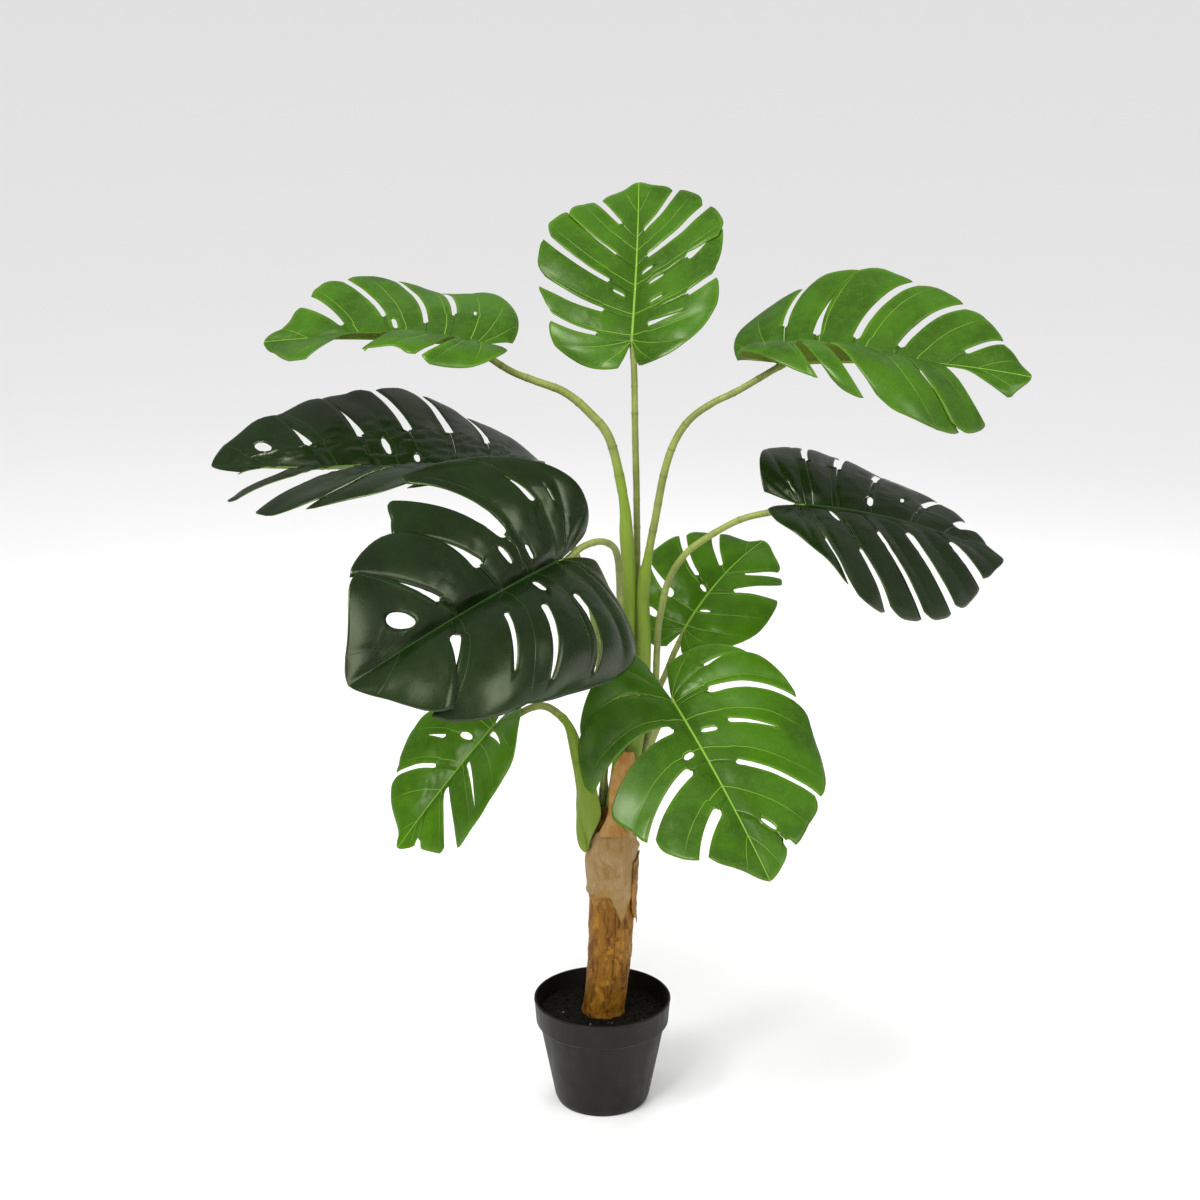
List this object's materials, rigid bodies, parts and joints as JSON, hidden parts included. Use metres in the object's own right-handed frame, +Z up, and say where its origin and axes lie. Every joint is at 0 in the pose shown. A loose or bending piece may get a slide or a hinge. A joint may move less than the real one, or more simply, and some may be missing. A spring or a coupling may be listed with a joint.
{
  "type": "potted monstera plant",
  "caption": "Tall monstera in a black nursery pot: split and pierced heart-shaped leaves on arching stems from a short bark-wrapped trunk in potting soil",
  "frame": {"origin": "centre of the pot's base, on the surface that it stands on", "axes": "+Z up along the trunk, -Y the side the plant faces, +X to the right seen from the front"},
  "size_m": [0.9701, 0.723, 1.1504],
  "materials": {
    "pot": "black moulded nursery-pot plastic with a dull sheen",
    "soil": "dark crumbly potting soil",
    "bark": "golden brown, mottled, wrinkled bark",
    "pale_bark": "beige fibrous dried sheath",
    "dark_bark": "dark brown dried flap of bark",
    "stem": "olive green, smooth, with fine ring joints",
    "leaf_green": "glossy mid green with pale veins and a yellow-green margin",
    "deep_green": "glossy very dark green with a pale midrib",
    "young_green": "glossy fresh yellow-green with pale veins"
  },
  "bodies": {
    "root": {"pot": "pot", "soil": "soil", "trunk": "bark", "lower_bark": "bark", "upper_bark": "pale_bark", "side_bark": "dark_bark", "dried_leaf_base": "bark", "top_stem": "stem", "upper_left_stem": "stem", "upper_right_stem": "stem", "dark_left_stem": "stem", "dark_front_stem": "stem", "dark_right_stem": "stem", "small_back_stem": "stem", "lower_front_stem": "stem", "lower_left_stem": "stem", "top_leaf": "leaf_green", "upper_left_leaf": "leaf_green", "upper_right_leaf": "leaf_green", "dark_left_leaf": "deep_green", "dark_front_leaf": "deep_green", "dark_right_leaf": "deep_green", "small_back_leaf": "young_green", "lower_front_leaf": "leaf_green", "lower_left_leaf": "young_green"}
  },
  "joints": []
}
